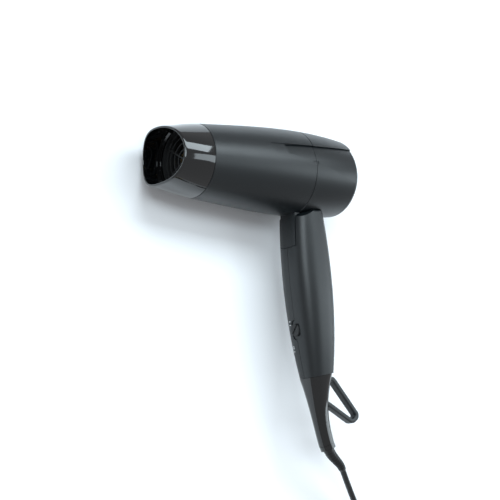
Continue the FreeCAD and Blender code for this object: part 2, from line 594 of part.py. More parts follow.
# cord grip inside the guard's top
gx, gy, _, _, _ = guard_station(0.12)
CLAMP_HALF_Y, CLAMP_HALF_Z = 4.0, 4.6
CLAMP_SCREW_X = gx - CORD_R - 2.2
clamp = block(gx - CORD_R - 4.2, gx + CORD_R + 1.7, gy - CLAMP_HALF_Y, gy + CLAMP_HALF_Y,
              -CLAMP_HALF_Z, CLAMP_HALF_Z)
clamp = clamp.cut(cyl(CORD_R + GAP, 30, vec(gx, gy - 15, 0), vec(0, 1, 0)))
parts["cord_grip"] = clamp.cut(cyl(1.35, 30, vec(CLAMP_SCREW_X, gy, -15), vec(0, 0, 1)))
parts["cord_grip_screw"] = cyl(1.3, 2 * CLAMP_HALF_Z, vec(CLAMP_SCREW_X, gy, -CLAMP_HALF_Z), vec(0, 0, 1))

WIRE_R = 0.9
# wires in the handle, from the stripped end of the lead up to the hinge
lead_top = gy + CLAMP_HALF_Y + 0.3
for name, z in (("wire_live", 4.2), ("wire_neutral", -4.2)):
    path = [(gx, lead_top + 0.5, z * 0.3)]
    for share, ahead_of, spread in ((0.875, 3.3, 1.0), (0.6, 1.6, 1.5), (0.42, 2.1, 1.0)):
        x, y, _, _ = grip_station(share)
        path.append((x - ahead_of, y, z * spread))
    path.append((PIVOT_X + 7.6, PIVOT_Y - 19, z * 0.4))
    parts[name], _, _ = swept_tube(path, WIRE_R)

# ---- mains lead ------------------------------------------------------------------------------
E = (GUARD_END_X + 20.7, GUARD_END_Y - 20.5, -4.0)      # the lead's exit from its relief
W = vec(0.628, -0.676, -0.379)
W.normalize()
TABLE = FLOOR + CORD_R
ROUTE = [E, (E[0] + W.x * 40, E[1] + W.y * 40, E[2] + W.z * 40), (E[0] + 54.0, E[1] - 52.5, TABLE + 0.1),
         (E[0] + 85.0, E[1] - 77.5, TABLE + 0.1), (E[0] + 92.0, E[1] - 107.5, TABLE + 0.1)]
lead, lead_length, lead_radii = swept_tube(ROUTE, CORD_R)
parts["cord"] = lead
last = vec(*ROUTE[-1]) - vec(*ROUTE[-2])
last.normalize()
COIL_CENTRE = vec(*ROUTE[-1]) + vec(last.y, -last.x, 0) * (COIL_R + 2 * CORD_R)
BUNDLE = 3 * 2 * CORD_R
coil_low = FLOOR + 0.9
face = Part.Face(Part.makePolygon([vec(COIL_R + dx, 0, coil_low + dz) for dx, dz in (
    (-BUNDLE / 2 + 2, 0), (BUNDLE / 2 - 2, 0), (BUNDLE / 2, 2), (BUNDLE / 2, BUNDLE - 2),
    (BUNDLE / 2 - 2, BUNDLE), (-BUNDLE / 2 + 2, BUNDLE), (-BUNDLE / 2, BUNDLE - 2), (-BUNDLE / 2, 2),
    (-BUNDLE / 2 + 2, 0))]))
coil = face.revolve(vec(0, 0), vec(0, 0, 1), 360)
coil.translate(vec(COIL_CENTRE.x, COIL_CENTRE.y, 0))
parts["cord_coil"] = coil

# tie round the coil
TIE_T = 0.8
tie = block(COIL_R - BUNDLE / 2 - TIE_T, COIL_R + BUNDLE / 2 + TIE_T, -5, 5,
            coil_low - TIE_T, coil_low + BUNDLE + TIE_T)
tie = tie.makeFillet(2.0, [e for e in tie.Edges if abs(e.BoundBox.YLength - 10) < 1e-6])
tie.rotate(vec(0, 0), vec(0, 0, 1), 200)
tie.translate(vec(COIL_CENTRE.x, COIL_CENTRE.y, 0))
parts["cord_tie"] = tie.cut(coil)

# tail and plug beside the coil
TAIL_Y = COIL_CENTRE.y - COIL_R - 2 * CORD_R
TAIL_Z = FLOOR + 0.9 + 1.5 * 2 * CORD_R + 1.2
PLUG_X1 = COIL_CENTRE.x - COIL_R - BUNDLE / 2 - 14.0
tail = cyl(CORD_R, COIL_CENTRE.x - 4 - PLUG_X1, vec(PLUG_X1, TAIL_Y, TAIL_Z), vec(1, 0))
parts["cord_tail"] = tail.cut(coil)
plug = block(PLUG_X1 - 7 - PLUG_SIZE, PLUG_X1 - 7, TAIL_Y - PLUG_SIZE / 2, TAIL_Y + PLUG_SIZE / 2,
             FLOOR + 0.05, FLOOR + PLUG_HEIGHT)
plug = plug.makeFillet(8.0, [e for e in plug.Edges if abs(e.BoundBox.ZLength - plug.BoundBox.ZLength) < 1e-6])
plug = plug.makeFillet(2.5, [e for e in plug.Edges if e.BoundBox.ZMax < FLOOR + 0.1])
neck_plug = Part.makeCone(6.0, 4.2, 9.0, vec(PLUG_X1 - 9, TAIL_Y, TAIL_Z), vec(1, 0))
plug = plug.fuse(neck_plug).cut(cyl(CORD_R, 30, vec(PLUG_X1, TAIL_Y, TAIL_Z), vec(1, 0)))
parts["plug_body"] = plug.removeSplitter()
top = FLOOR + PLUG_HEIGHT
px = PLUG_X1 - 7 - PLUG_SIZE / 2


def pin(x, y, long_x, wide_y, height):
    body = block(x - long_x / 2, x + long_x / 2, y - wide_y / 2, y + wide_y / 2, top, top + height)
    rim = [e for e in body.Edges if e.BoundBox.ZMin > top + height - 0.01]
    return body.makeChamfer(0.8, rim)


parts["plug_line_pins"] = Part.Compound([
    pin(px + 9.0, TAIL_Y + s * 11.05, 3.97, 6.35, 17.7) for s in (-1, 1)])
parts["plug_earth_pin"] = pin(px - 13.2, TAIL_Y, 7.92, 3.97, 22.7)

# strain relief: tapered, bending from the guard's end to the lead
relief_path = []
start_p = sleeve_start + END_WAY * 4.3
for i in range(6):
    t = i / 5
    span = 27.0
    p0, p3 = start_p, vec(*E)
    p1, p2 = p0 + END_WAY * (span * 0.34), p3 - W * (span * 0.34)
    point = p0 * (1 - t) ** 3 + p1 * (3 * t * (1 - t) ** 2) + p2 * (3 * t * t * (1 - t)) + p3 * t ** 3
    way = (p1 - p0) * (3 * (1 - t) ** 2) + (p2 - p1) * (6 * t * (1 - t)) + (p3 - p2) * (3 * t * t)
    relief_path.append(Part.Wire(Part.makeCircle(CORD_R + 2.1 - 1.5 * t, point, way)))
relief = Part.makeLoft(relief_path, True, False)
STUB_LENGTH = 14.0
stub_end = start_p - END_WAY * STUB_LENGTH
stub = cyl(STUB_R, STUB_LENGTH, stub_end, END_WAY)
# the lead's inner end, from the stub up through the cord grip
inner_end, _, _ = swept_tube([(stub_end.x + 0.3, stub_end.y - 0.6, 0),
                              (GUARD_END_X - 6.7, GUARD_END_Y + 19.5, 0),
                              (GUARD_END_X - 8.6, GUARD_END_Y + 34.0, 0), (gx, lead_top, 0)], CORD_R)
parts["strain_relief"] = relief.fuse(stub).fuse(inner_end).removeSplitter()

# ---- place the origin under the middle of the dryer -------------------------------------------
LEAD_NODES = ("cord", "cord_coil", "cord_tie", "cord_tail", "plug_body", "plug_line_pins", "plug_earth_pin")
low, high = [1e9] * 3, [-1e9] * 3
for name, shape in parts.items():
    if name in LEAD_NODES:
        continue
    b = shape.optimalBoundingBox(False)
    for i, (m, n) in enumerate(((b.XMin, b.XMax), (b.YMin, b.YMax), (b.ZMin, b.ZMax))):
        low[i], high[i] = min(low[i], m), max(high[i], n)
shift = V(-(low[0] + high[0]) / 2, -(low[1] + high[1]) / 2, -low[2])
print("shift %.4f %.4f %.4f" % (shift.x, shift.y, shift.z), "bbox", [round(v, 2) for v in low + high])
print("lead length %.1f, radii %s" % (lead_length, [round(r, 1) for r in lead_radii]))
print("lead volume %.1f, section x length %.1f" % (lead.Volume, math.pi * CORD_R ** 2 * lead_length))
print("coil centre", COIL_CENTRE, "pivot", PIVOT_X, PIVOT_Y, "knob", KNOB_X, KNOB_Y, "slope", SLOPE)
print("plug", PLUG_X1, TAIL_Y, TAIL_Z, "floor", FLOOR, "selector", SELECTOR_X)

os.makedirs("parts", exist_ok=True)
for name, shape in parts.items():
    shape.translate(shift)
    if not shape.isValid() or shape.Volume <= 0:
        print("BAD", name, shape.isValid(), shape.Volume)
    shape.exportStep("parts/%s.step" % name)
print(len(parts), "nodes")
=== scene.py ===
"""Travel hair dryer: finishes, fine detail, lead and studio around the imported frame.

Axes are the frame's: +X towards the air inlet, +Y towards the barrel's top, +Z up. Metres throughout.
"""

import json
import logging
import math
from dataclasses import dataclass, field
from enum import Enum
from typing import Any, Callable, Sequence

import bmesh
import bpy
from mathutils import Matrix, Vector

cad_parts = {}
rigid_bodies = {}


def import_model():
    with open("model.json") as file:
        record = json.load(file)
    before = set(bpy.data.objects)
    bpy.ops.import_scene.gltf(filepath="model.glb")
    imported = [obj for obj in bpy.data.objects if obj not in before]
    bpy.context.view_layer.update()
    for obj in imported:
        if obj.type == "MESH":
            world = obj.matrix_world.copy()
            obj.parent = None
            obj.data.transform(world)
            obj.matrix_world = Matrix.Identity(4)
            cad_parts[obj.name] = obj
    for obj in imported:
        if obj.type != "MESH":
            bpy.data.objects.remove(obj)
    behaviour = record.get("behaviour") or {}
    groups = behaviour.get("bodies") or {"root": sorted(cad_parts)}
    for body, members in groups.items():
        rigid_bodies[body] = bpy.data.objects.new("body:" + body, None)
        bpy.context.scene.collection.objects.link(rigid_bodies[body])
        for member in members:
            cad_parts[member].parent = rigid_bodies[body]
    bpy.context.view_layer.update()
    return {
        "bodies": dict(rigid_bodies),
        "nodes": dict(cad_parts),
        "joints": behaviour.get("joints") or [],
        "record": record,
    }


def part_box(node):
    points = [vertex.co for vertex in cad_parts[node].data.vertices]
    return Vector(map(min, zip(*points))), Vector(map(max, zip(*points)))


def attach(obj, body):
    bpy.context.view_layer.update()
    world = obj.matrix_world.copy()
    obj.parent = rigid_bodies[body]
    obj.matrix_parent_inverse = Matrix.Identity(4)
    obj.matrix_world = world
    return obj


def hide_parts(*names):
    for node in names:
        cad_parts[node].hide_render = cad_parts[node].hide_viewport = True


logging.basicConfig(level=logging.INFO, format="%(message)s")
log = logging.getLogger("hair_dryer")

MM = 0.001


# ---- finishes ----------------------------------------------------------------------------


def linear(hex_colour: str) -> tuple[float, float, float, float]:
    """Turn an sRGB hex colour into Blender's linear colour.

    Args:
        hex_colour: six hex digits with a leading #.

    Returns:
        Linear red, green, blue and an alpha of 1.
    """
    values = [int(hex_colour[i : i + 2], 16) / 255 for i in (1, 3, 5)]
    return (*(v / 12.92 if v <= 0.04045 else ((v + 0.055) / 1.055) ** 2.4 for v in values), 1.0)


def add_node(
    tree: bpy.types.NodeTree, kind: str, settings: dict[str, Any], links: dict[str, Any]
) -> bpy.types.Node:
    """Add a shader node with its settings and links.

    Args:
        tree: the material's node tree.
        kind: node type name.
        settings: values by attribute name, or by input name where no attribute has it.
        links: output sockets by input name.

    Returns:
        The new node.
    """
    node = tree.nodes.new(kind)
    for key, value in settings.items():
        if hasattr(node, key):
            setattr(node, key, value)
        else:
            node.inputs[key].default_value = value
    for key, socket in links.items():
        tree.links.new(socket, node.inputs[key])
    return node


class Relief(Enum):
    """How a surface's fine relief was made."""

    NONE = "polished, no relief"
    SPARK = "spark-eroded mould texture"
    BRUSHED = "turned or drawn metal"
    WOVEN = "woven strap"
    FLAKE = "pressed mica flakes"


@dataclass(frozen=True)
class Finish:
    """One real material and how its surface was made."""

    name: str
    colour: str
    roughness: float
    relief: Relief = Relief.NONE
    grain_mm: float = 0.5
    depth_mm: float = 0.02
    mottle: float = 0.0
    metallic: float = 0.0
    ior: float = 1.5
    coat: float = 0.0

    def build(self) -> bpy.types.Material:
        """Make the material, or return the one already made under this name.

        Returns:
            The material.
        """
        known = bpy.data.materials.get(self.name)
        if known:
            return known
        material = bpy.data.materials.new(self.name)
        material.use_nodes = True
        tree = material.node_tree
        shader = tree.nodes["Principled BSDF"]
        shader.inputs["Base Color"].default_value = linear(self.colour)
        shader.inputs["Roughness"].default_value = self.roughness
        shader.inputs["Metallic"].default_value = self.metallic
        shader.inputs["IOR"].default_value = self.ior
        shader.inputs["Coat Weight"].default_value = self.coat
        shader.inputs["Coat Roughness"].default_value = 0.06
        if self.relief is not Relief.NONE:
            self._add_relief(tree, shader)
        material.diffuse_color = linear(self.colour)
        return material

    def _add_relief(self, tree: bpy.types.NodeTree, shader: bpy.types.Node) -> None:
        """Add the fine relief and, where asked for, a slight unevenness of gloss.

        Args:
            tree: the material's node tree.
            shader: its principled shader.
        """
        place = add_node(tree, "ShaderNodeTexCoord", {}, {})
        stretch = {Relief.BRUSHED: (0.04, 1.0, 1.0)}.get(self.relief, (1.0, 1.0, 1.0))
        mapping = add_node(tree, "ShaderNodeMapping", {"Scale": stretch}, {"Vector": place.outputs["Object"]})
        scale = 1.0 / (self.grain_mm * MM)
        if self.relief is Relief.WOVEN:
            pattern = add_node(tree, "ShaderNodeTexWave", {"Scale": scale / 6.28, "Distortion": 0.6},
                               {"Vector": mapping.outputs[0]})
            height = pattern.outputs["Fac"]
        elif self.relief is Relief.FLAKE:
            pattern = add_node(tree, "ShaderNodeTexVoronoi", {"Scale": scale}, {"Vector": mapping.outputs[0]})
            height = pattern.outputs["Distance"]
        else:
            pattern = add_node(tree, "ShaderNodeTexNoise", {"Scale": scale, "Detail": 3.0},
                               {"Vector": mapping.outputs[0]})
            height = pattern.outputs["Fac"]
        bump = add_node(tree, "ShaderNodeBump", {"Strength": 1.0, "Distance": self.depth_mm * MM},
                        {"Height": height})
        tree.links.new(bump.outputs[0], shader.inputs["Normal"])
        if self.mottle:
            cloud = add_node(tree, "ShaderNodeTexNoise", {"Scale": 60.0, "Detail": 2.0},
                             {"Vector": place.outputs["Object"]})
            spread = add_node(tree, "ShaderNodeMapRange",
                              {"To Min": self.roughness - self.mottle,
                               "To Max": self.roughness + self.mottle},
                              {"Value": cloud.outputs["Fac"]})
            tree.links.new(spread.outputs[0], shader.inputs["Roughness"])


# Moulded ABS with a fine spark texture: satin, cool charcoal.
SATIN_ABS = Finish("satin charcoal ABS", "#0a1013", 0.38, Relief.SPARK, 0.35, 0.006, 0.03)
# The same ABS polished in the mould: deep black with clear reflections.
GLOSS_ABS = Finish("polished black ABS", "#050607", 0.07, coat=0.4)
# Glass-filled nylon that stands the heat: dull black.
MATTE_NYLON = Finish("black glass-filled nylon", "#1a1b1c", 0.6, Relief.SPARK, 0.3, 0.02)
# Off-white PBT of fans: slightly glossy.
FAN_PBT = Finish("ivory PBT", "#cfcabb", 0.45)
# Flexible PVC of leads and sleeves: soft sheen.
FLEX_PVC = Finish("black flexible PVC", "#151617", 0.38, Relief.SPARK, 0.6, 0.01, 0.04)
# Moulded rubber of the hanging loop: duller than PVC.
LOOP_RUBBER = Finish("grey-black rubber", "#171b1d", 0.45, Relief.SPARK, 0.4, 0.012)
# Woven hook-and-loop strap: no gloss.
STRAP = Finish("woven nylon strap", "#17181a", 0.9, Relief.WOVEN, 0.8, 0.12)
# Zinc-plated steel of screws and pins: bright, faintly turned.
ZINC_STEEL = Finish("zinc-plated steel", "#b9b9b4", 0.28, Relief.BRUSHED, 0.4, 0.004, metallic=1.0)
NYLON_NATURAL = Finish("natural nylon", "#d8d3c2", 0.5)
# Pressed mica sheet: tan flakes with a faint glitter.
MICA = Finish("pressed mica sheet", "#a48c63", 0.45, Relief.FLAKE, 1.6, 0.03, 0.08)
# Nichrome wire: dull grey metal, oxidised by heat.
NICHROME = Finish("nichrome wire", "#6d6761", 0.45, metallic=1.0)
EPOXY_BLACK = Finish("black epoxy", "#121212", 0.4)
TIN_CAN = Finish("tinned can", "#c5c5c2", 0.3, metallic=1.0)
BRASS = Finish("bright brass", "#c8a85a", 0.22, Relief.BRUSHED, 0.5, 0.004, metallic=1.0)
BROWN_PVC = Finish("brown PVC insulation", "#5a3218", 0.4)
BLUE_PVC = Finish("blue PVC insulation", "#1d4f9c", 0.4)
WHITE_INK = Finish("white pad-print ink", "#dfe3e4", 0.55)
FLOOR_CARD = Finish("matt white card", "#f1f2f4", 0.85)

SLOT_FINISH = {
    "shell_charcoal": SATIN_ABS, "gloss_black": GLOSS_ABS, "matte_black": MATTE_NYLON, "fan_white": FAN_PBT,
    "rubber_black": FLEX_PVC, "tie_black": STRAP, "steel": ZINC_STEEL, "washer_nylon": NYLON_NATURAL,
    "mica": MICA, "heater_wire": NICHROME, "component_black": EPOXY_BLACK, "component_metal": TIN_CAN,
    "brass": BRASS, "wire_brown": BROWN_PVC, "wire_blue": BLUE_PVC,
}


# ---- making pieces -----------------------------------------------------------------------


@dataclass
class Workshop:
    """Keeps the frame and turns finished meshes into pieces of the object."""

    frame: dict[str, Any]
    made: list[str] = field(default_factory=list)

    def axis_point(self) -> Vector:
        """Find the middle of the nozzle seam, on the barrel's axis.

        Returns:
            The point, in metres.
        """
        low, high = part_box("outlet_spigot")
        seam_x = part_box("barrel")[0][0]
        return Vector((seam_x, (low[1] + high[1]) / 2, (low[2] + high[2]) / 2))

    def piece(self, name: str, bm: bmesh.types.BMesh, finish: Finish, body: str, slot: str,
              replaced: Sequence[str] = (), crease: float = 35.0) -> bpy.types.Object:
        """Make an object from a bmesh, dress it and tie it to its body.

        Args:
            name: the piece's name.
            bm: its mesh, in the row frame; it is freed here.
            finish: its material.
            body: CAD body it moves with.
            slot: the record's material slot; not used.
            replaced: CAD nodes it stands for.
            crease: edges sharper than this many degrees stay crisp.

        Returns:
            The new object.
        """
        bmesh.ops.remove_doubles(bm, verts=bm.verts, dist=1e-6)
        bmesh.ops.recalc_face_normals(bm, faces=bm.faces)
        mesh = bpy.data.meshes.new(name)
        bm.to_mesh(mesh)
        bm.free()
        mesh.polygons.foreach_set("use_smooth", [True] * len(mesh.polygons))
        mesh.set_sharp_from_angle(angle=math.radians(crease))
        mesh.materials.append(finish.build())
        made = bpy.data.objects.new(name, mesh)
        bpy.context.scene.collection.objects.link(made)
        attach(made, body)
        if replaced:
            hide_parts(*replaced)
        self.made.append(name)
        log.info("%s: %d faces", name, len(mesh.polygons))
        return made

    def dress_frame(self) -> None:
        """Give every CAD node the finish of its material slot."""
        slots = {row["node"]: row["material_slot"] for row in self.frame["record"]["subparts"]}
        for node, item in self.frame["nodes"].items():
            item.data.materials.clear()
            item.data.materials.append(SLOT_FINISH[slots[node]].build())


# ---- lofted pieces -----------------------------------------------------------------------

Place = Callable[[float], Vector]


def oval(angle: float, half_a: float, half_b: float, power: float) -> tuple[float, float]:
    """Point of a superellipse.

    Args:
        angle: parameter round the oval, in radians.
        half_a: half size along the first direction.
        half_b: half size along the second direction.
        power: 2 for an ellipse, more for a boxier oval.

    Returns:
        The point's two coordinates.
    """
    c, s = math.cos(angle), math.sin(angle)
    return (math.copysign(abs(c) ** (2 / power), c) * half_a,
            math.copysign(abs(s) ** (2 / power), s) * half_b)


def loft(bm: bmesh.types.BMesh, count: int, rings: Sequence[Place], closed: bool) -> None:
    """Extrude a circle of vertices from ring to ring.

    Args:
        bm: mesh that receives the skin.
        count: vertices round each ring.
        rings: one function per ring, giving a place for each angle.
        closed: join the last ring to the first; otherwise both ends are capped.
    """
    step = bm.verts.layers.int.get("step") or bm.verts.layers.int.new("step")
    first = bmesh.ops.create_circle(bm, cap_ends=False, segments=count, radius=1.0)["verts"]
    for index, vert in enumerate(first):
        vert[step] = index
        vert.co = rings[0](2 * math.pi * index / count)
    start = list({edge for vert in first for edge in vert.link_edges})
    edges = start
    for ring in rings[1:]:
        grown = bmesh.ops.extrude_edge_only(bm, edges=edges)["geom"]
        edges = [item for item in grown if isinstance(item, bmesh.types.BMEdge)]
        for vert in (item for item in grown if isinstance(item, bmesh.types.BMVert)):
            vert.co = ring(2 * math.pi * vert[step] / count)
    if closed:
        bmesh.ops.bridge_loops(bm, edges=start + edges)
    else:
        for rim in (start, edges):
            bmesh.ops.holes_fill(bm, edges=rim, sides=count)


@dataclass
class Nozzle:
    """Push-on concentrator: round at the seam, a hollowed boxy oval at the mouth."""

    shop: Workshop
    seam_x: float = -0.35
    length: float = 36.4
    cutback: float = 6.8
    wall: float = 1.8
    bore: float = 26.62
    socket: float = 13.5
    chamfer: float = 0.35
    segments: int = 128
    # distance from the seam, half width, half height and boxiness at each station
    stations: tuple[tuple[float, float, float, float], ...] = (
        (-0.35, 30.0, 30.0, 2.0), (-12.0, 30.3, 28.5, 2.0),
        (-24.75, 29.7, 25.8, 2.15), (-36.4, 28.5, 23.5, 2.3))

    def section(self, x: float) -> tuple[float, ...]:
        """Find the section at x, on the smooth curve through the stations.

        Args:
            x: distance from the seam, mm.

        Returns:
            Half width, half height and boxiness.
        """
        shares = []
        for i, (xi, *_) in enumerate(self.stations):
            share = 1.0
            for j, (xj, *_) in enumerate(self.stations):
                if j != i:
                    share *= (x - xj) / (xi - xj)
            shares.append(share)
        return tuple(sum(w * row[k] for w, row in zip(shares, self.stations)) for k in (1, 2, 3))

    def mouth_x(self, across: float) -> float:
        """Find where the mouth's edge stands.

        Args:
            across: distance to the side of the middle, mm.

        Returns:
            The edge's distance from the seam, mm.
        """
        return -self.length + self.cutback * (across / self.stations[-1][1]) ** 2

    def skin(self, share: float, shrink: float, back: float = 0.0) -> Place:
        """Ring on the skin at a share of the way to the mouth.

        Args:
            share: 0 at the seam, 1 at the mouth's edge.
            shrink: how far the ring lies inside the outer skin, mm.
            back: shift towards the seam, mm.

        Returns:
            The ring's place for each angle.
        """
        origin = self.shop.axis_point()

        def place(angle: float) -> Vector:
            """Settle on the skin at one angle; a few rounds are enough for the curved mouth."""
            x = self.seam_x - share * (self.length + self.seam_x)
            for _ in range(4):
                half_a, half_b, power = self.section(x)
                z, y = oval(angle, half_a - shrink, half_b - shrink, power)
                x = self.seam_x + share * (self.mouth_x(z) - self.seam_x) + back
            return origin + Vector((x, y, z)) * MM

        return place

    def round(self, x: float, radius: float) -> Place:
        """Make a round ring.

        Args:
            x: distance from the seam, mm.
            radius: the ring's radius, mm.

        Returns:
            The ring's place for each angle.
        """
        origin = self.shop.axis_point()
        return lambda angle: origin + Vector((x, math.sin(angle) * radius, math.cos(angle) * radius)) * MM

    def build(self) -> None:
        """Make the nozzle in place of its CAD solid."""
        seam_r, lip = self.stations[0][1], self.wall / 2
        rings = [self.round(self.seam_x, seam_r - self.chamfer), self.skin(self.chamfer / self.length, 0.0)]
        rings += [self.skin(i / 16, 0.0) for i in range(1, 16)]
        rings += [self.skin(1.0, lip * (1 - math.cos(turn)), lip * (1 - math.sin(turn)))
                  for turn in (math.pi * k / 8 for k in range(9))]
        rings += [self.skin(i / 12, self.wall) for i in range(11, 4, -1)]
        rings += [self.round(-self.socket, self.bore - 1.2), self.round(-self.socket, self.bore),
                  self.round(self.seam_x, self.bore)]
        bm = bmesh.new()
        loft(bm, self.segments, rings, closed=True)
        self.shop.piece("nozzle_shell", bm, GLOSS_ABS, "nozzle", "gloss_black", ["nozzle"], crease=30.0)


@dataclass
class HangingLoop:
    """Rubber loop behind the cord guard: a rounded band along an open, round-cornered line."""

    shop: Workshop
    thick: float = 4.0
    wide: float = 7.5
    corner: float = 4.0
    # a corner's arc takes at most this share of each side beside it
    corner_share: float = 0.45
    step_degrees: float = 9.0
    # the band's outer corners, from the handle's end round to the guard
    outline: tuple[tuple[float, float], ...] = (
        (129.5, -166.85), (139.4, -168.6), (167.5, -200.5), (158.3, -207.6), (133.5, -194.0), (130.0, -192.2))

    def middle_line(self) -> list[Vector]:
        """Find the band's middle line, half its thickness inside the outline.

        Returns:
            The line's corners, mm.
        """
        points = [Vector(p) for p in self.outline]
        moved = []
        for i, point in enumerate(points):
            ways = []
            if i:
                ways.append((point - points[i - 1]).normalized())
            if i + 1 < len(points):
                ways.append((points[i + 1] - point).normalized())
            normals = [Vector((way.y, -way.x)) for way in ways]
            mean = sum(normals, Vector((0.0, 0.0))).normalized()
            moved.append(point + mean * (self.thick / 2 / mean.dot(normals[0])))
        return moved

    def stations(self) -> list[tuple[Vector, Vector]]:
        """Walk along the round-cornered middle line.

        Returns:
            Pairs of a place and a direction, mm.
        """
        points = self.middle_line()
        found = [(points[0], (points[1] - points[0]).normalized())]
        for before, point, after in zip(points, points[1:], points[2:]):
            into, out = (point - before).normalized(), (after - point).normalized()
            turn = into.angle(out)
            take = min(self.corner * math.tan(turn / 2), self.corner_share * (point - before).length,
                       self.corner_share * (after - point).length)
            radius = take / math.tan(turn / 2)
            start = point - into * take
            side = Vector((-into.y, into.x)) * math.copysign(1, into.cross(out))
            centre = start + side * radius
            steps = max(3, round(math.degrees(turn) / self.step_degrees))
            for k in range(steps + 1):
                swing = math.copysign(turn * k / steps, into.cross(out))
                spoke = Matrix.Rotation(swing, 2) @ (start - centre)
                found.append((centre + spoke, Matrix.Rotation(swing, 2) @ into))
        found.append((points[-1], (points[-1] - points[-2]).normalized()))
        return found

    def build(self) -> None:
        """Make the loop in place of its CAD solid."""
        origin = self.shop.axis_point()
        rings = [self.section(origin, place, way) for place, way in self.stations()]
        bm = bmesh.new()
        loft(bm, 32, rings, closed=False)
        self.shop.piece("hanging_loop_band", bm, LOOP_RUBBER, "handle", "rubber_black", ["hanging_loop"],
                        crease=50.0)

    def section(self, origin: Vector, place: Vector, way: Vector) -> Place:
        """Make the band's rounded section at one place of its line.

        Args:
            origin: middle of the nozzle seam, in metres.
            place: point on the line, mm.
            way: the line's direction there.

        Returns:
            The ring's place for each angle.
        """
        across = Vector((-way.y, way.x, 0.0))

        def ring(angle: float) -> Vector:
            """Find the section's point at one angle."""
            a, b = oval(angle, self.thick / 2, self.wide / 2, 5.0)
            return origin + (Vector((place.x, place.y, 0.0)) + across * a + Vector((0.0, 0.0, b))) * MM

        return ring


@dataclass
class ReliefSleeve:
    """Ribbed bending sleeve between the guard's end and the lead."""

    shop: Workshop
    start: tuple[float, float, float] = (130.95 + 4.3 * 0.4384, -224.0 - 4.3 * 0.8988, 0.0)
    start_way: tuple[float, float, float] = (0.4384, -0.8988, 0.0)
    end: tuple[float, float, float] = (151.0, -244.5, -4.0)
    end_way: tuple[float, float, float] = (0.6296, -0.6778, -0.3800)
    reach: float = 9.18
    first_r: float = 4.6
    last_r: float = 3.1
    ribs: int = 9
    groove: float = 0.45
    stub: float = 6.0
    stub_r: float = 3.0
    mouth_r: float = 2.4

    def ring(self, share: float, radius: float, slide: float = 0.0) -> Place:
        """Round ring across the sleeve's bent line.

        Args:
            share: 0 at the guard, 1 at the lead.
            radius: ring's radius, mm.
            slide: extra distance along the line, mm.

        Returns:
            The ring's place for each angle.
        """
        p0, p3 = Vector(self.start), Vector(self.end)
        p1, p2 = p0 + Vector(self.start_way) * self.reach, p3 - Vector(self.end_way) * self.reach
        t, u = share, 1 - share
        point = p0 * u**3 + p1 * (3 * t * u * u) + p2 * (3 * t * t * u) + p3 * t**3
        way = ((p1 - p0) * u * u + (p2 - p1) * (2 * u * t) + (p3 - p2) * (t * t)).normalized()
        flat = way.cross(Vector((0.0, 0.0, 1.0))).normalized()
        other = way.cross(flat)
        point = self.shop.axis_point() + (point + way * slide) * MM
        return lambda angle: point + (flat * math.cos(angle) + other * math.sin(angle)) * radius * MM

    def build(self) -> None:
        """Make the sleeve in place of its CAD solid."""
        rings = [self.ring(0.0, self.stub_r, -self.stub), self.ring(0.0, self.stub_r, -0.2),
                 self.ring(0.0, self.first_r - 0.4), self.ring(0.012, self.first_r)]
        for rib in range(self.ribs):
            for part, depth in ((0.25, 0.0), (0.32, 1.0), (0.68, 1.0), (0.75, 0.0)):
                share = 0.06 + 0.84 * (rib + part) / self.ribs
                radius = self.first_r + (self.last_r - self.first_r) * share
                rings.append(self.ring(share, radius - depth * self.groove))
        rings += [self.ring(0.98, self.last_r), self.ring(1.0, self.last_r - 0.3),
                  self.ring(1.0, self.mouth_r)]
        bm = bmesh.new()
        loft(bm, 40, rings, closed=False)
        self.shop.piece("relief_sleeve", bm, FLEX_PVC, "handle", "rubber_black", ["strain_relief"],
                        crease=40.0)


